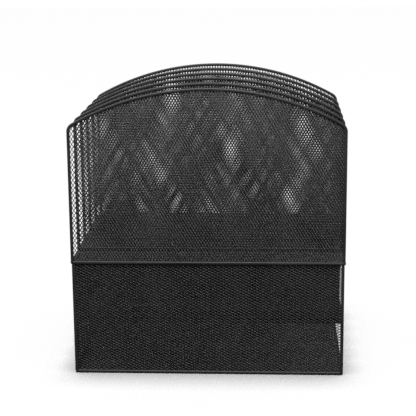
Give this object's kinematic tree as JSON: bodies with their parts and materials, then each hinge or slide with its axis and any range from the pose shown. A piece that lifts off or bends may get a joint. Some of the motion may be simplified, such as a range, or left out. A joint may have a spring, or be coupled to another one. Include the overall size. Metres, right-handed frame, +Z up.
{
  "type": "desk organizer",
  "caption": "Black steel-mesh desk organizer: arch-topped panels form upright file sections over a sliding divided drawer and an open letter tray.",
  "frame": {"origin": "on the desk under the middle of the organizer (bottom centre of its bounding box)", "axes": "+X out of the open front, the way the drawer pulls out; +Y across the upright sections; +Z up"},
  "size_m": [0.311, 0.241, 0.33],
  "materials": {
    "steel_mesh": "expanded steel mesh, semi-gloss black powder coat",
    "steel_binding": "folded steel binding, semi-gloss black powder coat"
  },
  "bodies": {
    "stand": {"upright_panel_1_mesh": "steel_mesh", "upright_panel_2_mesh": "steel_mesh", "upright_panel_3_mesh": "steel_mesh", "upright_panel_4_mesh": "steel_mesh", "upright_panel_5_mesh": "steel_mesh", "upright_panel_6_mesh": "steel_mesh", "upright_panel_1_rim": "steel_binding", "upright_panel_2_rim": "steel_binding", "upright_panel_3_rim": "steel_binding", "upright_panel_4_rim": "steel_binding", "upright_panel_5_rim": "steel_binding", "upright_panel_6_rim": "steel_binding", "rack_floor_mesh": "steel_mesh", "rack_floor_frame": "steel_binding", "left_side_mesh": "steel_mesh", "left_side_rim": "steel_binding", "right_side_mesh": "steel_mesh", "right_side_rim": "steel_binding", "back_mesh": "steel_mesh", "back_rim": "steel_binding", "shelf_mesh": "steel_mesh", "shelf_frame": "steel_binding", "tray_floor_mesh": "steel_mesh", "tray_floor_frame": "steel_binding"},
    "drawer": {"drawer_floor_mesh": "steel_mesh", "drawer_left_mesh": "steel_mesh", "drawer_right_mesh": "steel_mesh", "drawer_front_mesh": "steel_mesh", "drawer_back_mesh": "steel_mesh", "drawer_top_rim": "steel_binding", "drawer_bottom_rim": "steel_binding", "drawer_divider_1_mesh": "steel_mesh", "drawer_divider_1_rim": "steel_binding", "drawer_divider_2_mesh": "steel_mesh", "drawer_divider_2_rim": "steel_binding"}
  },
  "joints": [
    {"name": "drawer_slide", "type": "slide", "parent": "stand", "child": "drawer", "axis": [1, 0, 0], "range_m": [0, 0.21]}
  ]
}
